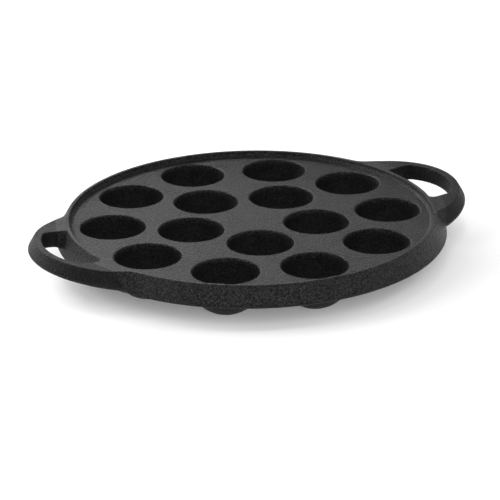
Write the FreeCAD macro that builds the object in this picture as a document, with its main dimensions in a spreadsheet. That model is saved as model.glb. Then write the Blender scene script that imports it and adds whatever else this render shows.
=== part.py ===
import math
import os

import FreeCAD
import Part
import Sketcher

doc = FreeCAD.newDocument("poffertjes_pan")

# Driving dimensions in millimetres, angles in degrees. The pan stands on the flats under its cups at z = 0.
sheet = doc.addObject("Spreadsheet::Sheet", "dims")
DIMENSIONS = (
    ("well_radius", 21.0, "inside of a well"),
    ("bowl_drop", 3.0, "centre of a well's bowl, and of its cup, below the plate"),
    ("lip_round", 1.3, "mouth of a well"),
    ("cup_wall", 3.4, "wall between a well and the outside of its cup"),
    ("foot_radius", 6.0, "flat under a cup"),
    ("outer_ring_count", 10, "wells in the outer ring"),
    ("outer_ring_gap", 6.82, "between neighbouring cups of the outer ring"),
    ("inner_ring_count", 5, "wells in the inner ring"),
    ("inner_ring_gap", 1.52, "between neighbouring cups of the inner ring"),
    ("plate_thickness", 4.0, "plate between the wells"),
    ("rim_land", 6.1, "plate between the outer wells and the rim"),
    ("rim_slope", 0.8, "inner wall of the rim, how far it leans outwards"),
    ("rim_width", 2.2, "top of the rim across"),
    ("rim_rise", 3.4, "top of the rim above the plate"),
    ("draft", 30.5, "lean of every outer wall, outwards towards the foot"),
    ("skirt_drop", 9.5, "lower edge of the skirt below the plate"),
    ("skirt_wall", 4.8, "skirt, measured level"),
    ("handle_reach", 26.9, "tip of a handle beyond the rim"),
    ("handle_radius", 53.0, "outline of a handle at the level of its tip"),
    ("junction_round", 16.0, "handle's outline running into the pan's, at the same level"),
    ("top_slope", 5.4, "rise of a handle's top"),
    ("under_drop", 8.3, "underside of a handle below the plate, beside the skirt"),
    ("under_start", 6.5, "where a handle's underside starts to rise, inside the rim's edge"),
    ("under_slope", 7.9, "rise of a handle's underside"),
    ("under_round", 2.4, "lower outer edge of a handle"),
    ("slope_bend", 20.0, "bend where a handle's top or underside starts to rise"),
    ("bar_width", 4.8, "top of a handle's bar across"),
    ("slot_half_length", 29.0, "finger slot from its middle to one end"),
    ("slot_corner", 7.0, "finger slot's corners beside the bar"),
    ("slot_root_corner", 2.8, "finger slot's corners beside the pan"),
    ("recess_round", 2.5, "plate running up to the rim"),
    ("skirt_root_round", 3.0, "skirt running into the plate"),
    ("foot_round", 1.2, "lower outer edge of the skirt"),
    ("edge_round", 0.8, "other edges"),
    ("overrun", 10.0, "how far a cut runs past what it cuts"),
)
for row, (alias, number, note) in enumerate(DIMENSIONS, start=1):
    sheet.set(f"A{row}", note)
    sheet.set(f"B{row}", str(number))
    sheet.setAlias(f"B{row}", alias)
doc.recompute()

# Rings of wells, heights and radii that follow from the sheet.
CUP_RADIUS = "(dims.well_radius + dims.cup_wall)"
OUTER_RING = f"(({CUP_RADIUS} + dims.outer_ring_gap / 2) / sin(180 / dims.outer_ring_count))"
INNER_RING = f"(({CUP_RADIUS} + dims.inner_ring_gap / 2) / sin(180 / dims.inner_ring_count))"
PLATE_TOP = f"(dims.bowl_drop + sqrt({CUP_RADIUS}^2 - dims.foot_radius^2))"
PLATE_UNDER = f"({PLATE_TOP} - dims.plate_thickness)"
RIM_TOP = f"({PLATE_TOP} + dims.rim_rise)"
SKIRT_FOOT = f"({PLATE_TOP} - dims.skirt_drop)"
RECESS_RADIUS = f"({OUTER_RING} + dims.well_radius + dims.rim_land)"
RIM_INNER = f"({RECESS_RADIUS} + dims.rim_slope)"
RIM_RADIUS = f"({RIM_INNER} + dims.rim_width)"
FLARE = "tan(dims.draft)"
SKIRT_RADIUS = f"({RIM_RADIUS} + {FLARE} * (dims.rim_rise + dims.skirt_drop))"
SKIRT_INNER_FOOT = f"({SKIRT_RADIUS} - dims.skirt_wall)"
SKIRT_INNER_ROOT = f"({SKIRT_INNER_FOOT} - {FLARE} * (dims.skirt_drop - dims.plate_thickness))"

# A handle's outline is an arc about a centre of its own, and a round joins it to the pan's.
HANDLE_TIP = f"({RIM_RADIUS} + dims.handle_reach)"
HANDLE_CENTRE = f"({HANDLE_TIP} - dims.handle_radius)"
REACH = f"({HANDLE_TIP} + 2 * dims.overrun)"
TOP_BEND_START = f"({RIM_RADIUS} + dims.edge_round)"
TOP_BEND = "(dims.slope_bend * tan(dims.top_slope / 2))"
HANDLE_RISE = f"(({HANDLE_TIP} - {TOP_BEND_START} - {TOP_BEND}) * tan(dims.top_slope))"
HANDLE_TOP = f"({RIM_TOP} + {HANDLE_RISE})"
PAN_OUTLINE = f"({RIM_RADIUS} - {FLARE} * {HANDLE_RISE})"
TO_JUNCTION = f"({PAN_OUTLINE} + dims.junction_round)"
JUNCTION_ACROSS = (f"(({TO_JUNCTION}^2 + {HANDLE_CENTRE}^2 - (dims.handle_radius + dims.junction_round)^2)"
                   f" / (2 * {HANDLE_CENTRE}))")
HANDLE_UNDER = f"({PLATE_TOP} - dims.under_drop)"
SKIRT_AT_UNDER = f"({SKIRT_RADIUS} - {FLARE} * (dims.skirt_drop - dims.under_drop))"
UNDER_BEND_START = f"({RIM_RADIUS} - dims.under_start)"

# The skirt's lower outer edge is an arc that meets its wall and its foot without a crease.
FOOT_BACK = "(dims.foot_round * tan(45 + dims.draft / 2))"
FOOT_ARC_RADIUS = f"({SKIRT_RADIUS} - {FOOT_BACK})"
FOOT_WALL_RADIUS = f"({SKIRT_RADIUS} - {FOOT_BACK} * sin(dims.draft))"
FOOT_WALL_LEVEL = f"({SKIRT_FOOT} + {FOOT_BACK} * cos(dims.draft))"

# The finger slot runs between the bar and the skirt, and its corners take at most these shares of its ends.
BAR_CORNER_SHARE = 0.9
ROOT_CORNER_SHARE = 0.35
SLOT_RADIUS = "(dims.handle_radius - dims.bar_width)"
SLOT_REACH = f"({HANDLE_CENTRE} + sqrt({SLOT_RADIUS}^2 - dims.slot_half_length^2))"
SLOT_END = f"({SLOT_REACH} - sqrt({SKIRT_RADIUS}^2 - dims.slot_half_length^2))"
SLOT_CORNER = f"min(dims.slot_corner; {BAR_CORNER_SHARE} * {SLOT_END})"
SLOT_ROOT_CORNER = f"min(dims.slot_root_corner; {ROOT_CORNER_SHARE} * {SLOT_END})"


def measure(expression):
    """Value of an expression over the sheet, as a plain number."""
    value = sheet.evalExpression(expression)
    return float(getattr(value, "Value", value))


def origin_item(body, role):
    """Plane or axis of a body's own origin."""
    return next(item for item in body.Origin.OriginFeatures if item.Role == role)


def new_sketch(body, name, plane, height=None):
    """Sketch on one of the body's origin planes, raised by an expression where one is given."""
    sketch = body.newObject("Sketcher::SketchObject", name)
    sketch.AttachmentSupport = [(origin_item(body, plane), "")]
    sketch.MapMode = "FlatFace"
    if height:
        sketch.setExpression("AttachmentOffset.Base.z", height)
    return sketch


def fix(sketch, kind, geometry, point, expression):
    """Hold one coordinate of a point, measured from the sketch's origin, to an expression."""
    index = sketch.addConstraint(Sketcher.Constraint(kind, -1, 1, geometry, point, measure(expression)))
    sketch.setExpression(f"Constraints[{index}]", expression)


def hold_radius(sketch, arc, expression):
    """Hold an arc's radius to an expression."""
    index = sketch.addConstraint(Sketcher.Constraint("Radius", arc, measure(expression)))
    sketch.setExpression(f"Constraints[{index}]", expression)


def add_arc(sketch, centre, start, stop, anticlockwise):
    """Arc from start to stop: its index, then the numbers of its points at start and at stop."""
    first, last = (start, stop) if anticlockwise else (stop, start)
    angles = [math.atan2(spot.y - centre.y, spot.x - centre.x) for spot in (first, last)]
    circle = Part.Circle(centre, FreeCAD.Vector(0, 0, 1), start.distanceToPoint(centre))
    arc = sketch.addGeometry(Part.ArcOfCircle(circle, *angles), False)
    return (arc, 1, 2) if anticlockwise else (arc, 2, 1)


def join(sketch, ends, kind):
    """Join every side of a closed outline to the next."""
    for index, (side, _, last) in enumerate(ends):
        following, first, _ = ends[(index + 1) % len(ends)]
        sketch.addConstraint(Sketcher.Constraint(kind, side, last, following, first))


def draw(sketch, corners, arcs=(), follows=()):
    """Closed outline through corners given as pairs of expressions.

    arcs gives, for the side that leaves a corner, its centre and whether it turns anticlockwise.
    follows gives the coordinates that an arc or an upright side settles, which get no value of their own.
    """
    arcs, follows = dict(arcs), dict(follows)
    points = [FreeCAD.Vector(measure(across), measure(up), 0) for across, up in corners]
    ends = []
    for index, start in enumerate(points):
        stop = points[(index + 1) % len(points)]
        if index in arcs:
            (across, up), anticlockwise = arcs[index]
            centre = FreeCAD.Vector(measure(across), measure(up), 0)
            ends.append(add_arc(sketch, centre, start, stop, anticlockwise))
            fix(sketch, "DistanceX", ends[-1][0], 3, across)
            fix(sketch, "DistanceY", ends[-1][0], 3, up)
        else:
            ends.append((sketch.addGeometry(Part.LineSegment(start, stop), False), 1, 2))
    join(sketch, ends, "Coincident")
    for index, (across, up) in enumerate(corners):
        side, first, _ = ends[index]
        if "x" not in follows.get(index, ""):
            fix(sketch, "DistanceX", side, first, across)
        if "y" not in follows.get(index, ""):
            fix(sketch, "DistanceY", side, first, up)
    return ends


def turn_axis(sketch, across):
    """Upright construction line that a sketch is revolved about."""
    foot = FreeCAD.Vector(measure(across), 0, 0)
    top = foot + FreeCAD.Vector(0, measure("dims.overrun"), 0)
    axis = sketch.addGeometry(Part.LineSegment(foot, top), True)
    sketch.addConstraint(Sketcher.Constraint("Vertical", axis))
    fix(sketch, "DistanceX", axis, 1, across)
    fix(sketch, "DistanceY", axis, 1, "0")
    fix(sketch, "DistanceY", axis, 2, "dims.overrun")


def round_edges(body, name, radius, test):
    """Fillet on every edge of the body's latest feature that passes a test."""
    doc.recompute()
    base = body.Tip
    names = [f"Edge{number}" for number, edge in enumerate(base.Shape.Edges, start=1)
             if not edge.Degenerated and test(edge)]
    if not names:
        raise RuntimeError(f"{name} finds no edge")
    fillet = body.newObject("PartDesign::Fillet", name)
    fillet.Base = (base, names)
    fillet.setExpression("Radius", radius)


def near(first, second, slack=0.01):
    """Whether two lengths are the same within a slack."""
    return abs(first - second) < slack


def joins_levels(edge):
    """Whether an edge climbs by more than the plate's thickness between its ends."""
    heights = [corner.Z for corner in edge.Vertexes]
    return max(heights) - min(heights) > measure("dims.plate_thickness")


def is_upright(edge):
    """Whether an edge is straight and parallel to the pan's axis."""
    return edge.Curve.TypeId == "Part::GeomLine" and near(abs(edge.Curve.Direction.z), 1, 1e-6)


def is_circle(edge, radius, height):
    """Whether an edge is a level circle or arc of a radius at a height."""
    curve = edge.Curve
    if curve.TypeId != "Part::GeomCircle":
        return False
    return near(curve.Radius, radius) and near(curve.Center.z, height) and near(abs(curve.Axis.z), 1)


def revolve(body, name, sketch, axis, cut=False):
    """Turn a sketch right round an axis of its own, adding or cutting."""
    feature = body.newObject("PartDesign::Groove" if cut else "PartDesign::Revolution", name)
    feature.Profile = sketch
    feature.ReferenceAxis = (sketch, [axis])
    feature.Angle = 360
    return feature


def outline_with_lobes(sketch):
    """Outline of the pan with a round lobe at either end, joined to it by rounds that touch both."""
    pan_radius, lobe_radius = measure(PAN_OUTLINE), measure("dims.handle_radius")
    round_radius = measure("dims.junction_round")
    lobe = FreeCAD.Vector(measure(HANDLE_CENTRE), 0, 0)
    across = measure(JUNCTION_ACROSS)
    bend = FreeCAD.Vector(across, math.sqrt((pan_radius + round_radius) ** 2 - across ** 2), 0)
    on_pan = bend * (pan_radius / (pan_radius + round_radius))
    on_lobe = lobe + (bend - lobe) * (lobe_radius / (lobe_radius + round_radius))

    def at(point, along, up):
        """The point itself or its reflection in either axis."""
        return FreeCAD.Vector(along * point.x, up * point.y, 0)

    arcs = []
    for way in (1, -1):
        arcs += [(at(lobe, way, way), at(on_lobe, way, -way), at(on_lobe, way, way), True),
                 (at(bend, way, way), at(on_lobe, way, way), at(on_pan, way, way), False),
                 (FreeCAD.Vector(), at(on_pan, way, way), at(on_pan, -way, way), True),
                 (at(bend, -way, way), at(on_pan, -way, way), at(on_lobe, -way, way), False)]
    ends = [add_arc(sketch, *arc) for arc in arcs]
    join(sketch, ends, "Tangent")
    for (arc, _, _), radius in zip(ends, 2 * ("dims.handle_radius", "dims.junction_round", PAN_OUTLINE,
                                              "dims.junction_round")):
        hold_radius(sketch, arc, radius)
    for index, across in ((0, HANDLE_CENTRE), (2, "0"), (4, f"(0 - {HANDLE_CENTRE})"), (6, "0")):
        fix(sketch, "DistanceX", ends[index][0], 3, across)
        fix(sketch, "DistanceY", ends[index][0], 3, "0")


def rising_both_ways(sketch, level, start, slope, far_side):
    """Outline between a line, level across the pan and rising towards both handles, and a far side."""
    half_bend = f"(dims.slope_bend * tan({slope} / 2))"
    end = f"({start} + {half_bend} * (1 + cos({slope})))"
    end_level = f"({level} + {half_bend} * sin({slope}))"
    far_level = f"({level} + ({REACH} - {start} - {half_bend}) * tan({slope}))"
    centre_level = f"({level} + dims.slope_bend)"
    draw(sketch,
         [(f"(0 - {REACH})", far_level), (f"(0 - {end})", end_level), (f"(0 - {start})", level),
          (start, level), (end, end_level), (REACH, far_level), (REACH, far_side),
          (f"(0 - {REACH})", far_side)],
         arcs={1: ((f"(0 - {start})", centre_level), True), 3: ((start, centre_level), True)},
         follows={1: "y", 4: "y"})


def pad_down(body, name, sketch, length):
    """Pad that runs downwards from a level sketch."""
    pad = body.newObject("PartDesign::Pad", name)
    pad.Profile = sketch
    pad.Reversed = True
    pad.setExpression("Length", length)
    doc.recompute()
    return pad


def trim(body, name, level, start, slope, far_side):
    """Cut away what lies beyond a line that is level across the pan and rises towards both handles."""
    section = new_sketch(body, f"{name}_section", "XZ_Plane")
    rising_both_ways(section, level, start, slope, far_side)
    pocket = body.newObject("PartDesign::Pocket", name)
    pocket.Profile = section
    pocket.Type = "ThroughAll"
    pocket.Midplane = True
    doc.recompute()


def make_slot(name, turn):
    """Finger slot as a solid: it follows the handle's outline on one side and the skirt on the other."""
    body = doc.addObject("PartDesign::Body", name)
    inside = f"({RIM_RADIUS} / 2)"
    outline = new_sketch(body, f"{name}_outline", "XY_Plane", f"({HANDLE_TOP} + dims.overrun)")
    ends = draw(outline,
                [(inside, "(0 - dims.slot_half_length)"), (SLOT_REACH, "(0 - dims.slot_half_length)"),
                 (SLOT_REACH, "dims.slot_half_length"), (inside, "dims.slot_half_length")],
                arcs={1: ((HANDLE_CENTRE, "0"), True)}, follows={1: "x", 2: "x"})
    hold_radius(outline, ends[1][0], SLOT_RADIUS)
    depth = f"{HANDLE_RISE} + dims.rim_rise + dims.skirt_drop + dims.overrun"
    pad_down(body, f"{name}_block", outline, depth)

    pan_side = new_sketch(body, f"{name}_skirt", "XZ_Plane")
    lower = f"({SKIRT_FOOT} - dims.overrun)"
    upper = f"({RIM_TOP} + 2 * dims.overrun)"
    draw(pan_side, [("0", lower), (f"({SKIRT_RADIUS} + {FLARE} * dims.overrun)", lower),
                    (f"({RIM_RADIUS} - {FLARE} * 2 * dims.overrun)", upper), ("0", upper)])
    revolve(body, f"{name}_pan_side", pan_side, "V_Axis", cut=True)
    reach, half_length = measure(SLOT_REACH), measure("dims.slot_half_length")
    skirt_radius = measure(SKIRT_RADIUS)
    round_edges(body, f"{name}_bar_corners", SLOT_CORNER,
                lambda edge: is_upright(edge) and near(edge.Vertexes[0].X, reach))
    round_edges(body, f"{name}_root_corners", SLOT_ROOT_CORNER,
                lambda edge: joins_levels(edge) and near(abs(edge.CenterOfMass.y), half_length)
                and edge.CenterOfMass.x < skirt_radius)
    doc.recompute()
    body.Placement = FreeCAD.Placement(FreeCAD.Vector(), FreeCAD.Rotation(FreeCAD.Vector(0, 0, 1), turn))
    return body


def ring_of_cups(body, name, plane, ring, count):
    """Round cups with a flat foot, and the wells in them, repeated about the pan's axis."""
    level = f"({PLATE_TOP} - dims.plate_thickness / 2)"
    cup_edge = f"({ring} + sqrt({CUP_RADIUS}^2 - (dims.plate_thickness / 2 - dims.bowl_drop)^2))"
    outside = new_sketch(body, f"{name}_cup_section", plane)
    draw(outside,
         [(ring, "0"), (f"({ring} + dims.foot_radius)", "0"), (cup_edge, level), (ring, level)],
         arcs={1: ((ring, f"({PLATE_TOP} - dims.bowl_drop)"), True)}, follows={2: "x"})
    turn_axis(outside, ring)
    cup = revolve(body, f"{name}_cup", outside, "Axis0")
    doc.recompute()

    # A well is a bowl under a short upright wall, and an arc opens its mouth.
    wall = f"({ring} + dims.well_radius)"
    mouth = f"({ring} + dims.well_radius + dims.lip_round)"
    lip_level = f"({PLATE_TOP} - dims.lip_round)"
    bowl_level = f"({PLATE_TOP} - dims.bowl_drop)"
    above = f"({PLATE_TOP} + dims.rim_rise)"
    inside = new_sketch(body, f"{name}_well_section", plane)
    draw(inside,
         [(ring, f"({bowl_level} - dims.well_radius)"), (wall, bowl_level), (wall, lip_level),
          (mouth, PLATE_TOP), (mouth, above), (ring, above)],
         arcs={0: ((ring, bowl_level), True), 2: ((mouth, lip_level), False)}, follows={1: "x", 3: "y"})
    turn_axis(inside, ring)
    well = revolve(body, f"{name}_well", inside, "Axis0", cut=True)
    doc.recompute()

    pattern = body.newObject("PartDesign::PolarPattern", f"{name}_ring")
    pattern.Originals = [cup, well]
    pattern.Axis = (origin_item(body, "Z_Axis"), [""])
    pattern.Angle = 360
    pattern.setExpression("Occurrences", count)
    body.Tip = pattern
    doc.recompute()


pan = doc.addObject("PartDesign::Body", "poffertjes_pan")
pan.Label = "poffertjes_pan"

# One drafted block holds the plate and both handles. It is level over the pan and rises along the handles.
outline = new_sketch(pan, "outline", "XY_Plane", HANDLE_TOP)
outline_with_lobes(outline)
block = pad_down(pan, "block", outline, f"{HANDLE_RISE} + dims.rim_rise + dims.under_drop")
block.setExpression("TaperAngle", "dims.draft")
trim(pan, "top", RIM_TOP, TOP_BEND_START, "dims.top_slope", f"({HANDLE_TOP} + 2 * dims.overrun)")
trim(pan, "underside", HANDLE_UNDER, UNDER_BEND_START, "dims.under_slope",
     f"({HANDLE_UNDER} - 2 * dims.overrun)")
block_radius, block_under = measure(SKIRT_AT_UNDER), measure(HANDLE_UNDER)
round_edges(pan, "lower_outer_edge", "dims.under_round",
            lambda edge: is_circle(edge, block_radius, block_under) and edge.CenterOfMass.y < 0)

# The skirt's wall hangs below the block.
skirt = new_sketch(pan, "skirt_section", "XZ_Plane")
draw(skirt,
     [(SKIRT_INNER_ROOT, PLATE_UNDER), (SKIRT_INNER_FOOT, SKIRT_FOOT), (FOOT_ARC_RADIUS, SKIRT_FOOT),
      (FOOT_WALL_RADIUS, FOOT_WALL_LEVEL), (RIM_RADIUS, RIM_TOP), (RECESS_RADIUS, RIM_TOP)],
     arcs={2: ((FOOT_ARC_RADIUS, f"({SKIRT_FOOT} + dims.foot_round)"), True)}, follows={3: "y"})
revolve(pan, "skirt", skirt, "V_Axis")

# Inside the rim the plate lies lower, and inside the skirt the pan is hollow up to the plate.
recess = new_sketch(pan, "recess_section", "XZ_Plane")
above_rim = f"({RIM_TOP} + dims.overrun)"
draw(recess, [("0", PLATE_TOP), (RECESS_RADIUS, PLATE_TOP), (RIM_INNER, RIM_TOP), (RIM_INNER, above_rim),
              ("0", above_rim)])
revolve(pan, "recess", recess, "V_Axis", cut=True)
hollow = new_sketch(pan, "hollow_section", "XZ_Plane")
below_skirt = f"({SKIRT_FOOT} - dims.overrun)"
draw(hollow, [("0", PLATE_UNDER), (SKIRT_INNER_ROOT, PLATE_UNDER), (SKIRT_INNER_FOOT, SKIRT_FOOT),
              (SKIRT_INNER_FOOT, below_skirt), ("0", below_skirt)])
revolve(pan, "hollow", hollow, "V_Axis", cut=True)
doc.recompute()

openings = pan.newObject("PartDesign::Boolean", "finger_slots")
openings.Type = "Cut"
openings.setObjects([make_slot("right_slot", 0), make_slot("left_slot", 180)])
doc.recompute()

ring_of_cups(pan, "outer", "YZ_Plane", OUTER_RING, "dims.outer_ring_count")
ring_of_cups(pan, "inner", "XZ_Plane", f"(0 - {INNER_RING})", "dims.inner_ring_count")

plate_top, plate_under = measure(PLATE_TOP), measure(PLATE_UNDER)
rim_top, rim_radius, rim_inner = measure(RIM_TOP), measure(RIM_RADIUS), measure(RIM_INNER)
recess_radius, slot_half_length = measure(RECESS_RADIUS), measure("dims.slot_half_length")
skirt_foot, inner_foot, inner_root = measure(SKIRT_FOOT), measure(SKIRT_INNER_FOOT), measure(SKIRT_INNER_ROOT)

round_edges(pan, "recess_foot", "dims.recess_round",
            lambda edge: is_circle(edge, recess_radius, plate_top))
round_edges(pan, "skirt_root", "dims.skirt_root_round",
            lambda edge: is_circle(edge, inner_root, plate_under))

# This follows the edge that it starts from all the way round, along the handles too.
round_edges(pan, "rim_outer_edge", "dims.edge_round",
            lambda edge: is_circle(edge, rim_radius, rim_top) and edge.CenterOfMass.y < -rim_radius / 2)
round_edges(pan, "slot_top_edges", "dims.edge_round",
            lambda edge: is_circle(edge, rim_radius, rim_top) and abs(edge.CenterOfMass.y) < slot_half_length)
round_edges(pan, "inner_edges", "dims.edge_round",
            lambda edge: is_circle(edge, inner_foot, skirt_foot) or is_circle(edge, rim_inner, rim_top))

doc.recompute()
for item in doc.Objects:
    if "Invalid" in item.State or "Error" in item.State:
        raise RuntimeError(f"{item.Name} is {item.State}")
shape = pan.Shape
if shape.isNull() or not shape.isValid():
    raise RuntimeError("the pan's shape is not valid")
print("solids", len(shape.Solids), "volume", round(shape.Volume), "box", shape.BoundBox)
os.makedirs("parts", exist_ok=True)
shape.exportStep(f"parts/{pan.Label}.step")
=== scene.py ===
# %% [markdown]
# # A cast-iron pan for small puffed pancakes
#
# The pan is one casting: a round plate with fifteen bowl-shaped wells in two rings, a low rim round the
# plate, a skirt below it and two loop handles. It stands on the bottoms of the cups under the wells.
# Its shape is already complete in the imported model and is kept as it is. So the work here is to show it
# the right way: a camera, a white floor, a studio's light, and a surface that reads as black cast iron.

import math

import bpy
import numpy as np
from mathutils import Matrix, Vector

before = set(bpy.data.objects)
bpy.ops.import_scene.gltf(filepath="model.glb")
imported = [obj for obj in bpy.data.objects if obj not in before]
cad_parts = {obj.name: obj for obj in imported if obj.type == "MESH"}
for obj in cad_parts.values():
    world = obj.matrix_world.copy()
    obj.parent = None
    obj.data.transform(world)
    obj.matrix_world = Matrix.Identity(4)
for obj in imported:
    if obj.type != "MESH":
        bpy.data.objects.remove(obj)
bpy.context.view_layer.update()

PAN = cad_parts["poffertjes_pan"]

# %% [markdown]
# ## Where things are
#
# The plate is flat, and there is no well in its middle. So the highest vertex near the pan's axis is at
# the height of the plate's top.

# %% Height of the plate
MIDDLE_REACH = 0.03
places = np.empty(3 * len(PAN.data.vertices), dtype=np.float32)
PAN.data.vertices.foreach_get("co", places)
places = places.reshape(-1, 3)
in_the_middle = np.hypot(places[:, 0], places[:, 1]) < MIDDLE_REACH
PLATE_TOP = float(places[in_the_middle, 2].max())
print("plate top, mm:", round(1000 * PLATE_TOP, 2))

# %% [markdown]
# ## The camera
#
# The pan is seen from a little above, with its left handle nearer. The picture is flat, as from a long
# lens far away. The view is set by the direction from the pan to the camera (a turn round the pan and a
# height above the floor), by a small roll, and by the place in the picture where the middle of the
# plate lands. From these the camera's own axes and its place follow.

# %% The camera
VIEW_TURN = math.radians(-25.7)
VIEW_HEIGHT = math.radians(22.16)
VIEW_ROLL = math.radians(0.824)
VIEW_DISTANCE = 1.6405
PICTURE_WIDTH = 500
FOCAL_PIXELS = 2528.6
SENSOR_WIDTH = 36.0
PLATE_MIDDLE_PIXEL = (251.24, 218.14)


def camera_axes(turn, height, roll):
    """Right, up and back of the camera: back points at it from the pan, right is level before the roll."""
    back = np.array([math.sin(turn) * math.cos(height), -math.cos(turn) * math.cos(height), math.sin(height)])
    level = np.array([math.cos(turn), math.sin(turn), 0.0])
    upright = np.cross(back, level)
    right = math.cos(roll) * level - math.sin(roll) * upright
    up = math.sin(roll) * level + math.cos(roll) * upright
    return np.column_stack([right, up, back])


axes = camera_axes(VIEW_TURN, VIEW_HEIGHT, VIEW_ROLL)
half_picture = PICTURE_WIDTH / 2
aside = (PLATE_MIDDLE_PIXEL[0] - half_picture) / FOCAL_PIXELS * VIEW_DISTANCE
below = (PLATE_MIDDLE_PIXEL[1] - half_picture) / FOCAL_PIXELS * VIEW_DISTANCE
from_camera = axes @ np.array([aside, -below, -VIEW_DISTANCE])
camera = bpy.data.objects.new("camera", bpy.data.cameras.new("camera"))
camera.data.sensor_width = SENSOR_WIDTH
camera.data.lens = FOCAL_PIXELS * SENSOR_WIDTH / PICTURE_WIDTH
camera.data.clip_start, camera.data.clip_end = 0.05, 50.0
placed = Matrix(axes.tolist()).to_4x4()
placed.translation = Vector((0.0, 0.0, PLATE_TOP)) - Vector(from_camera)
camera.matrix_world = placed
bpy.context.scene.collection.objects.link(camera)
bpy.context.scene.camera = camera
print("camera at, m:", [round(value, 3) for value in placed.translation])
print("lens, mm:", round(camera.data.lens, 1))

# %% [markdown]
# ## The floor
#
# A pan like this is photographed on a white sheet that runs on into a white background. One large flat
# square is enough for that, because the camera looks down on it and sees nothing beyond it.

# %% The floor's sheet
FLOOR_REACH = 6.0

corners = np.array([(-1, -1, 0), (1, -1, 0), (1, 1, 0), (-1, 1, 0)]) * FLOOR_REACH
sheet = bpy.data.meshes.new("floor")
sheet.from_pydata(corners.tolist(), [], [(0, 1, 2, 3)])
floor = bpy.data.objects.new("floor", sheet)
bpy.context.scene.collection.objects.link(floor)
print("floor, m across:", 2 * FLOOR_REACH)

# %% [markdown]
# ## The floor's paint
#
# The sheet is matt white. It has no gloss at all, so that the pan's shadow keeps its soft grey and isn't
# crossed by a reflection of the pan.

# %% The floor's paint
FLOOR_COLOUR = (0.93, 0.93, 0.93, 1.0)
FLOOR_ROUGHNESS = 0.9


def new_material(name):
    """An empty node material, with its node tree and its output."""
    material = bpy.data.materials.new(name)
    material.use_nodes = True
    tree = material.node_tree
    tree.nodes.clear()
    return material, tree, tree.nodes.new("ShaderNodeOutputMaterial")


white, tree, output = new_material("floor_white")
shader = tree.nodes.new("ShaderNodeBsdfPrincipled")
shader.inputs["Base Color"].default_value = FLOOR_COLOUR
shader.inputs["Roughness"].default_value = FLOOR_ROUGHNESS
shader.inputs["Specular IOR Level"].default_value = 0.0
tree.links.new(shader.outputs["BSDF"], output.inputs["Surface"])
sheet.materials.append(white)
print("floor's paint:", white.name, FLOOR_COLOUR[:3])

# %% [markdown]
# ## The floor's glow
#
# White paint alone renders a little grey, and more lamps would bleach the pan as well. So the sheet also
# gives off a glow of its own: a weak one near the pan, where its shadow has to stay dark, and a strong
# one farther off. The glow is seen by the camera, in reflections and through glass, but it lights
# nothing. Most steps of such a network are one of two simple nodes, so each gets a short function.

# %% The floor's glow
GLOW_NEAR, GLOW_FAR = 0.16, 0.75
GLOW_RISES_FROM, GLOW_RISES_TO = 0.5, 2.0


def ramp(tree, value, start, end, low=0.0, high=1.0):
    """low on the side of start, high on the side of end, and a straight line between the two."""
    node = tree.nodes.new("ShaderNodeMapRange")
    for label, number in (("From Min", start), ("From Max", end), ("To Min", low), ("To Max", high)):
        node.inputs[label].default_value = number
    tree.links.new(value, node.inputs["Value"])
    return node.outputs["Result"]


def mixed(tree, operation, first, second):
    """One Math node; each side is a socket or a plain number."""
    node = tree.nodes.new("ShaderNodeMath")
    node.operation = operation
    for socket, side in zip(node.inputs, (first, second)):
        if isinstance(side, (int, float)):
            socket.default_value = side
        else:
            tree.links.new(side, socket)
    return node.outputs[0]


def seen_directly(tree):
    """1 for rays of the camera, of reflections and through glass, 0 for those that carry scattered light."""
    path = tree.nodes.new("ShaderNodeLightPath")
    seen = mixed(tree, "MAXIMUM", path.outputs["Is Camera Ray"], path.outputs["Is Glossy Ray"])
    return mixed(tree, "MAXIMUM", seen, path.outputs["Is Transmission Ray"])


from_the_pan = tree.nodes.new("ShaderNodeVectorMath")
from_the_pan.operation = "LENGTH"
tree.links.new(tree.nodes.new("ShaderNodeTexCoord").outputs["Object"], from_the_pan.inputs[0])
glow = ramp(tree, from_the_pan.outputs["Value"], GLOW_RISES_FROM, GLOW_RISES_TO, GLOW_NEAR, GLOW_FAR)
shader.inputs["Emission Color"].default_value = (1.0, 1.0, 1.0, 1.0)
tree.links.new(mixed(tree, "MULTIPLY", seen_directly(tree), glow), shader.inputs["Emission Strength"])
print("floor's glow:", GLOW_NEAR, "up to m", GLOW_RISES_FROM, "and", GLOW_FAR, "from m", GLOW_RISES_TO)

# %% [markdown]
# ## The sky
#
# Black iron shows little colour, so what it mirrors makes the picture. The plate is seen at a low angle
# and mirrors what lies low behind it. The wells mirror what is overhead. So the studio is white along the
# horizon and dim above, and the wells stay darker than the plate. Each stop gives a height, as the
# upward part of the direction, and the brightness there.

# %% The sky
SKY_STOPS = ((0.0, 1.0), (0.03, 1.0), (0.15, 0.4), (1.0, 0.35))

world = bpy.data.worlds.new("studio")
bpy.context.scene.world = world
world.use_nodes = True
tree = world.node_tree
tree.nodes.clear()
direction = tree.nodes.new("ShaderNodeSeparateXYZ")
tree.links.new(tree.nodes.new("ShaderNodeTexCoord").outputs["Generated"], direction.inputs[0])
sky_band = tree.nodes.new("ShaderNodeValToRGB")
sky_band.color_ramp.interpolation = "EASE"
while len(sky_band.color_ramp.elements) < len(SKY_STOPS):
    sky_band.color_ramp.elements.new(SKY_STOPS[0][0])
for stop, (upward, level) in zip(sky_band.color_ramp.elements, SKY_STOPS):
    stop.position = upward
    stop.color = (level, level, level, 1.0)
sky = tree.nodes.new("ShaderNodeBackground")
tree.links.new(direction.outputs["Z"], sky_band.inputs["Fac"])
tree.links.new(sky_band.outputs["Color"], sky.inputs["Color"])
tree.links.new(sky.outputs["Background"], tree.nodes.new("ShaderNodeOutputWorld").inputs["Surface"])
print("sky, horizon to overhead:", [level for _, level in SKY_STOPS])

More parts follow.
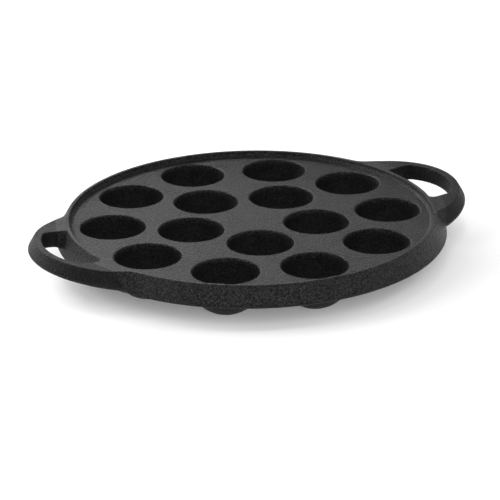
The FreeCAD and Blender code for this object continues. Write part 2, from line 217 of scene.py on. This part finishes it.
# %% [markdown]
# ## The lamps
#
# Two large soft boxes, in front of the pan and to its left, light its front and shape its shadow. They
# are kept out of reflections, where they would wash out the wells. A long strip behind the pan is there
# for its reflection: the plate mirrors it as a sheen that fades towards the right. Two small lamps put a
# glint on the rounded mouths of the wells. A lamp's turn is measured round the pan from the right, and
# its height from level.

# %% The lamps
def soft_box(name, turn, height, away, wide, tall, power, in_gloss):
    """A lamp that faces the pan: turn and height in degrees, its place and size in metres, power in watts."""
    lamp = bpy.data.objects.new(name, bpy.data.lights.new(name, "AREA"))
    lamp.data.shape = "RECTANGLE"
    lamp.data.size, lamp.data.size_y = wide, tall
    lamp.data.energy = power
    turn, height = math.radians(turn), math.radians(height)
    way = Vector((math.cos(turn) * math.cos(height), math.sin(turn) * math.cos(height), math.sin(height)))
    lamp.rotation_mode = "QUATERNION"
    lamp.rotation_quaternion = way.to_track_quat("Z", "Y")
    lamp.location = way * away
    lamp.visible_glossy = in_gloss
    lamp.visible_camera = False
    bpy.context.scene.collection.objects.link(lamp)
    return lamp


lamps = [
    soft_box("fill_front", turn=-108, height=27, away=1.6, wide=1.1, tall=1.1, power=18.0, in_gloss=False),
    soft_box("fill_left", turn=170, height=40, away=1.6, wide=1.0, tall=1.0, power=8.5, in_gloss=False),
    soft_box("back_strip", turn=98, height=27, away=0.95, wide=0.95, tall=0.22, power=6.2, in_gloss=True),
    soft_box("glint_right", turn=-50, height=48, away=1.5, wide=0.16, tall=0.16, power=1.5, in_gloss=True),
    soft_box("glint_over", turn=-112, height=66, away=1.5, wide=0.16, tall=0.16, power=1.5, in_gloss=True),
]
print("lamps, W:", {lamp.name: lamp.data.energy for lamp in lamps})

# %% [markdown]
# ## The grain of the sand
#
# The pan was poured into a mould of packed sand, and its skin keeps the print of the grains. They are a
# millimetre or two across, far too many to model, so they go into the surface's bump: two noise fields
# of nearly the same size, added, so that the grains look crowded, and a third, much wider one for the
# slight waves of the mould. The group also gives out the pale specks that the grain leaves in the black,
# and broad patches for the gloss. Its three inputs say how strong each field is.

# %% The grain of the sand
GRAIN_WAVES, GRAIN_COARSE, GRAIN_FINE = 110.0, 640.0, 1100.0
SPECK_GRAINS, PATCH_GRAINS = 950.0, 60.0
SPECKS_FROM, SPECKS_TO = 0.4, 0.7


def new_group(name, takes, gives):
    """A shader node group with named number inputs (name, value) and named number outputs."""
    tree = bpy.data.node_groups.new(name, "ShaderNodeTree")
    for label, value in takes:
        tree.interface.new_socket(label, in_out="INPUT", socket_type="NodeSocketFloat").default_value = value
    for label in gives:
        tree.interface.new_socket(label, in_out="OUTPUT", socket_type="NodeSocketFloat")
    return tree, tree.nodes.new("NodeGroupInput").outputs, tree.nodes.new("NodeGroupOutput").inputs


def noise(tree, place, grains, detail, roughness=0.5):
    """A noise field with the given number of grains to the metre."""
    node = tree.nodes.new("ShaderNodeTexNoise")
    node.inputs["Detail"].default_value = detail
    node.inputs["Roughness"].default_value = roughness
    node.inputs["Scale"].default_value = grains
    tree.links.new(place, node.inputs["Vector"])
    return node.outputs["Fac"]


grain, takes, gives = new_group(
    "sand_grain", [("Waves", 0.3), ("Coarse", 1.0), ("Fine", 1.0)], ["Height", "Patches", "Specks"]
)
place = grain.nodes.new("ShaderNodeTexCoord").outputs["Object"]
waves = mixed(grain, "MULTIPLY", noise(grain, place, GRAIN_WAVES, detail=2.0), takes["Waves"])
coarse = noise(grain, place, GRAIN_COARSE, detail=2.0, roughness=0.6)
coarse = mixed(grain, "MULTIPLY", coarse, takes["Coarse"])
fine = mixed(grain, "MULTIPLY", noise(grain, place, GRAIN_FINE, detail=1.0), takes["Fine"])
specks = ramp(grain, noise(grain, place, SPECK_GRAINS, detail=1.0), SPECKS_FROM, SPECKS_TO)
grain.links.new(mixed(grain, "ADD", mixed(grain, "ADD", coarse, fine), waves), gives["Height"])
grain.links.new(noise(grain, place, PATCH_GRAINS, detail=4.0, roughness=0.6), gives["Patches"])
grain.links.new(specks, gives["Specks"])
print("grains, mm across:", [round(1000 / count, 1) for count in (GRAIN_WAVES, GRAIN_COARSE, GRAIN_FINE)])

# %% [markdown]
# ## Where the iron is dull and darkened by painted shade
#
# The wells, the underside and the handles are made rougher, and blacker as painted shade. The painted shade
# stands in for the shade that falls in the wells, under the pan and in the handles' slots, and it also
# darkens the handles' tops. The group finds these places from where a point lies, and needs no painted map:
# below the plate's top and near the axis are the wells and the underside, and beyond the skirt are the
# handles. The change takes a few millimetres, so that the rounded mouths of the wells keep the plate's
# lighter look.

# %% Where the iron is dull and darkened by painted shade
WELLS_REACH, HANDLES_START = 0.114, 0.126
DULL_AND_SHADE_EDGE = 0.002

dull_and_shade, takes, gives = new_group(
    "dull_and_shaded_places",
    [("Plate Top", PLATE_TOP), ("Wells Reach", WELLS_REACH), ("Handles Start", HANDLES_START)],
    ["Dull"],
)
# one mask for more roughness and for painted shade: the wells, the underside and the handles
parts = dull_and_shade.nodes.new("ShaderNodeSeparateXYZ")
dull_and_shade.links.new(dull_and_shade.nodes.new("ShaderNodeTexCoord").outputs["Object"], parts.inputs[0])
squares = [mixed(dull_and_shade, "MULTIPLY", parts.outputs[axis], parts.outputs[axis]) for axis in ("X", "Y")]
reach = mixed(dull_and_shade, "SQRT", mixed(dull_and_shade, "ADD", *squares), 0.0)
depth = mixed(dull_and_shade, "SUBTRACT", takes["Plate Top"], parts.outputs["Z"])
low_down = ramp(dull_and_shade, depth, DULL_AND_SHADE_EDGE / 4, 2 * DULL_AND_SHADE_EDGE)
near_the_axis = ramp(dull_and_shade, mixed(dull_and_shade, "SUBTRACT", reach, takes["Wells Reach"]), DULL_AND_SHADE_EDGE, 0.0)
on_the_handles = ramp(dull_and_shade, mixed(dull_and_shade, "SUBTRACT", reach, takes["Handles Start"]), 0.0, DULL_AND_SHADE_EDGE)
below = mixed(dull_and_shade, "MULTIPLY", low_down, near_the_axis)
dull_and_shade.links.new(mixed(dull_and_shade, "MAXIMUM", below, on_the_handles), gives["Dull"])
print("dull: wells to, mm:", 1000 * WELLS_REACH, "handles from, mm:", 1000 * HANDLES_START)

# %% [markdown]
# ## The iron's colour
#
# Oiled and baked, iron is nearly black. The colour runs from that black to a dark grey where the grain
# group has a speck. In the dull places most of the specks are hidden again, as painted shade.

# %% The iron's colour
IRON_BLACK = (0.002, 0.002, 0.0021, 1.0)
IRON_SPECKS = (0.03, 0.03, 0.0305, 1.0)
SHADE_HIDES_SPECKS = 0.65


def blend(tree, share, first, second):
    """A colour that runs from first to second with share; first is a colour or a socket."""
    node = tree.nodes.new("ShaderNodeMix")
    node.data_type = "RGBA"
    tree.links.new(share, node.inputs["Factor"])
    if isinstance(first, tuple):
        node.inputs["A"].default_value = first
    else:
        tree.links.new(first, node.inputs["A"])
    node.inputs["B"].default_value = second
    return node.outputs["Result"]


iron, tree, output = new_material("black_cast_iron")
shader = tree.nodes.new("ShaderNodeBsdfPrincipled")
tree.links.new(shader.outputs["BSDF"], output.inputs["Surface"])
sand = tree.nodes.new("ShaderNodeGroup")
sand.node_tree = grain
dull_and_shaded_places = tree.nodes.new("ShaderNodeGroup")
dull_and_shaded_places.node_tree = dull_and_shade

speckled = blend(tree, sand.outputs["Specks"], IRON_BLACK, IRON_SPECKS)
# painted shade: the colour goes towards black in the wells, under the pan and on the handles
shade_share = mixed(tree, "MULTIPLY", dull_and_shaded_places.outputs["Dull"], SHADE_HIDES_SPECKS)
tree.links.new(blend(tree, shade_share, speckled, IRON_BLACK), shader.inputs["Base Color"])
print("iron's colour:", IRON_BLACK[:3], "to", IRON_SPECKS[:3])

# %% [markdown]
# ## The iron's sheen
#
# What one sees of black iron is mostly a broad soft sheen, strongest where the eye glances along the
# plate. Its strength is one number for the whole pan, so it is set on the shader's own socket. Its
# breadth is the roughness, which wanders with the patches of the oil and is larger in the dull places.

# %% The iron's sheen
IRON_SHEEN = 0.17
SMOOTHEST, ROUGHEST = 0.28, 0.44
DULL_ADDS_ROUGHNESS = 0.15

shader.inputs["Specular IOR Level"].default_value = IRON_SHEEN
roughness = ramp(tree, sand.outputs["Patches"], 0.0, 1.0, SMOOTHEST, ROUGHEST)
added = mixed(tree, "MULTIPLY", dull_and_shaded_places.outputs["Dull"], DULL_ADDS_ROUGHNESS)
tree.links.new(mixed(tree, "ADD", roughness, added), shader.inputs["Roughness"])
print("iron's roughness:", SMOOTHEST, "to", ROUGHEST, "and where dull up to", ROUGHEST + DULL_ADDS_ROUGHNESS)

# %% [markdown]
# ## The iron's skin
#
# A Bump node tilts the shading by the height that the grain group gives, and leaves the mesh as it is.
# That is right for grains this small, whose bumps don't show in the outline. The finished material then
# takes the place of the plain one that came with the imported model.

# %% The iron's skin
SAND_HEIGHT = 0.001

bump = tree.nodes.new("ShaderNodeBump")
bump.inputs["Distance"].default_value = SAND_HEIGHT
bump.inputs["Strength"].default_value = 1.0
tree.links.new(sand.outputs["Height"], bump.inputs["Height"])
tree.links.new(bump.outputs["Normal"], shader.inputs["Normal"])
PAN.data.materials.clear()
PAN.data.materials.append(iron)
print(iron.name, "on", PAN.name, "with", len(PAN.data.polygons), "faces")

# %% [markdown]
# ## Closing
#
# The picture is to look the same wherever it is made, so colours are shown plainly.

# %% The end
bpy.context.scene.view_settings.view_transform = "Standard"
